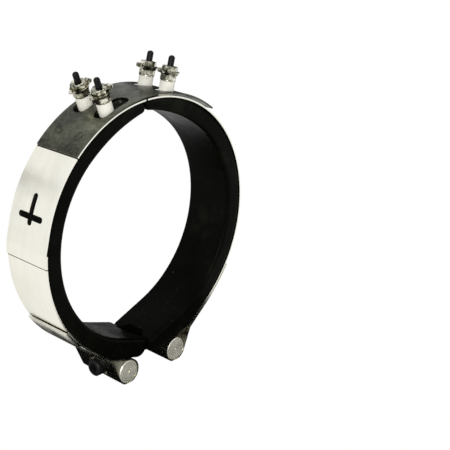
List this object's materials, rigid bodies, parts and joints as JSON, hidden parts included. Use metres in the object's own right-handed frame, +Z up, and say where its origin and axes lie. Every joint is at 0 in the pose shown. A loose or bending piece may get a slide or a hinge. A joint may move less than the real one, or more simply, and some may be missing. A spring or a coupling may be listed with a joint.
{
  "type": "band_heater",
  "caption": "Split ring band heater with a clamping strap, looped barrels, a socket-head clamp screw and a terminal plate with stud terminals",
  "frame": {"origin": "on the floor under the middle of the bore, midway between the two flanks", "axes": "+Z up through the top of the ring, +Y along the ring's axis away from the viewer, +X to the right, towards the half that swings"},
  "size_m": [0.1794, 0.0382, 0.217],
  "materials": {
    "sheath_steel": "satin",
    "insulation": "matt",
    "ribbon": "satin",
    "strap_steel": "polished",
    "plate_steel": "satin",
    "barrel_steel": "turned",
    "screw_steel": "satin",
    "stud_steel": "satin",
    "terminal_ceramic": "matt",
    "plated_hardware": "polished"
  },
  "bodies": {
    "left_half": {"sheath_left": "sheath_steel", "core_left": "insulation", "element_left": "ribbon", "strap_left": "strap_steel", "strap_upper": "strap_steel", "terminal_plate": "plate_steel", "terminal_stud_left_near": "stud_steel", "terminal_stud_left_far": "stud_steel", "bushing_left_near": "terminal_ceramic", "bushing_left_far": "terminal_ceramic", "washer_left_near": "plated_hardware", "washer_left_far": "plated_hardware", "lower_nut_left_near": "plated_hardware", "lower_nut_left_far": "plated_hardware", "tab_washer_left_near": "plated_hardware", "tab_washer_left_far": "plated_hardware", "upper_nut_left_near": "plated_hardware", "upper_nut_left_far": "plated_hardware"},
    "right_half": {"sheath_right": "sheath_steel", "core_right": "insulation", "element_right": "ribbon", "strap_right": "strap_steel", "terminal_stud_right_near": "stud_steel", "terminal_stud_right_far": "stud_steel", "bushing_right_near": "terminal_ceramic", "bushing_right_far": "terminal_ceramic", "washer_right_near": "plated_hardware", "washer_right_far": "plated_hardware", "lower_nut_right_near": "plated_hardware", "lower_nut_right_far": "plated_hardware", "tab_washer_right_near": "plated_hardware", "tab_washer_right_far": "plated_hardware", "upper_nut_right_near": "plated_hardware", "upper_nut_right_far": "plated_hardware"},
    "left_barrel": {"barrel_left": "barrel_steel"},
    "right_barrel": {"barrel_right": "barrel_steel"},
    "screw": {"clamp_screw": "screw_steel"}
  },
  "joints": [
    {"name": "band_opening", "type": "hinge", "parent": "left_half", "child": "right_half", "pos_m": [-0.0022, 0, 0.1951], "axis": [0, -1, 0], "range_deg": [-0.8, 1.5]},
    {"name": "left_barrel_swivel", "type": "hinge", "parent": "left_half", "child": "left_barrel", "pos_m": [-0.0227, 0, 0.0093], "axis": [0, -1, 0], "range_deg": [-0.5, 0.9]},
    {"name": "right_barrel_swivel", "type": "hinge", "parent": "right_half", "child": "right_barrel", "pos_m": [0.0227, 0, 0.0093], "axis": [0, -1, 0], "range_deg": [-0.72, 0.42]},
    {"name": "screw_turn", "type": "hinge", "parent": "left_barrel", "child": "screw", "pos_m": [-0.0301, 0, 0.0105], "axis": [-1, 0, 0], "range_deg": [-760, 1410]}
  ],
  "couplings": [
    {"joint": "left_barrel_swivel", "follows": "band_opening", "ratio": 0.547},
    {"joint": "right_barrel_swivel", "follows": "band_opening", "ratio": -0.453},
    {"joint": "screw_turn", "follows": "band_opening", "ratio": 932.93}
  ]
}
